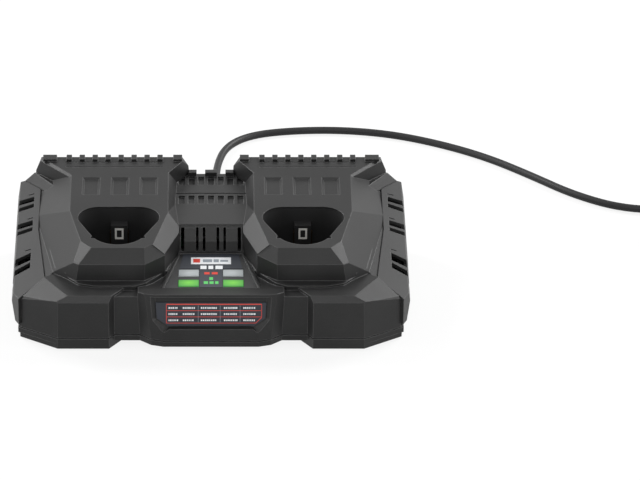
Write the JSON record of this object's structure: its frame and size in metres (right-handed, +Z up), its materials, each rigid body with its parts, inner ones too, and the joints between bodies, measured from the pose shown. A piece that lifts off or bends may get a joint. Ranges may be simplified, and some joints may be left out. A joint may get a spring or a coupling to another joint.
{
  "type": "power tool battery charger",
  "caption": "Black twin charger for stem-type power tool batteries, with two sockets, vented sides, an indicator panel and a cord with a two-pin plug.",
  "frame": {"origin": "under the middle of the housing, at the level of the rubber feet", "axes": "+Z up, +Y to the back where the cord leaves, +X to the right seen from the front"},
  "size_m": [0.4355, 0.2745, 0.0574],
  "materials": {
    "housing": "fine spark-eroded grain on black polyamide",
    "vent_panel": "fine grain on black polyamide",
    "socket_plastic": "smooth moulded, black",
    "contact_metal": "tin-plated sheet",
    "panel_plastic": "semi-gloss moulded",
    "window_clear": "frosted clear light guide",
    "window_green": "translucent green light guide",
    "label": "printed polyester film, navy with a red ruled frame",
    "rubber": "moulded rubber",
    "screw_steel": "blackened zinc-plated steel",
    "board": "green glass-fibre laminate with solder mask",
    "terminal": "green moulded terminal block",
    "glass": "clear tube with plated caps",
    "clip_metal": "tin-plated spring sheet",
    "ferrite": "sintered ferrite",
    "winding": "enamelled copper wire",
    "capacitor": "shrink sleeve on an aluminium can",
    "heat_sink": "extruded, plain",
    "package": "epoxy package",
    "lamp": "clear epoxy lamp",
    "lead": "soft insulated wire",
    "fan_plastic": "black glass-filled plastic",
    "bearing": "sintered bronze sleeve",
    "magnet": "rubber-bonded ferrite ring",
    "cord": "round black flexible jacket",
    "tie": "woven hook-and-loop strap",
    "plug": "moulded black thermoplastic",
    "pins": "nickel-plated brass"
  },
  "bodies": {
    "housing": {"upper_housing": "housing", "lower_housing": "housing", "left_vent_panel": "vent_panel", "right_vent_panel": "vent_panel", "left_socket_liner": "socket_plastic", "right_socket_liner": "socket_plastic", "left_contact_post": "socket_plastic", "right_contact_post": "socket_plastic", "left_front_contact": "contact_metal", "right_front_contact": "contact_metal", "left_side_contacts": "contact_metal", "right_side_contacts": "contact_metal", "grille": "housing", "indicator_panel": "panel_plastic", "clear_windows": "window_clear", "green_windows": "window_green", "panel_sticker": "label", "front_label": "label", "rubber_feet": "rubber", "housing_screws": "screw_steel", "main_board": "board", "board_screws": "screw_steel", "mains_terminal": "terminal", "fuse": "glass", "fuse_clips": "clip_metal", "choke_core": "ferrite", "choke_winding": "winding", "bulk_capacitor": "capacitor", "primary_heat_sink": "heat_sink", "power_transistor": "package", "secondary_heat_sink": "heat_sink", "output_rectifier": "package", "transformer_core": "ferrite", "transformer_winding": "winding", "output_capacitors": "capacitor", "indicator_board": "board", "indicator_lamps": "lamp", "left_contact_leads": "lead", "right_contact_leads": "lead", "mains_leads": "lead", "fan_frame": "fan_plastic", "fan_bearing": "bearing", "fan_stator": "winding", "strain_relief": "rubber", "inner_cord": "cord", "cord_clamp": "housing", "clamp_screws": "screw_steel", "power_cord": "cord", "power_cord_coil": "cord", "cord_tie": "tie", "plug_body": "plug", "plug_pins": "pins"},
    "fan": {"fan_rotor": "fan_plastic", "fan_shaft": "screw_steel", "fan_magnet": "magnet"}
  },
  "joints": [
    {"name": "fan_spin", "type": "hinge", "parent": "housing", "child": "fan", "pos_m": [0, 0.0045, 0.023], "axis": [0, 1, 0], "continuous": true}
  ]
}
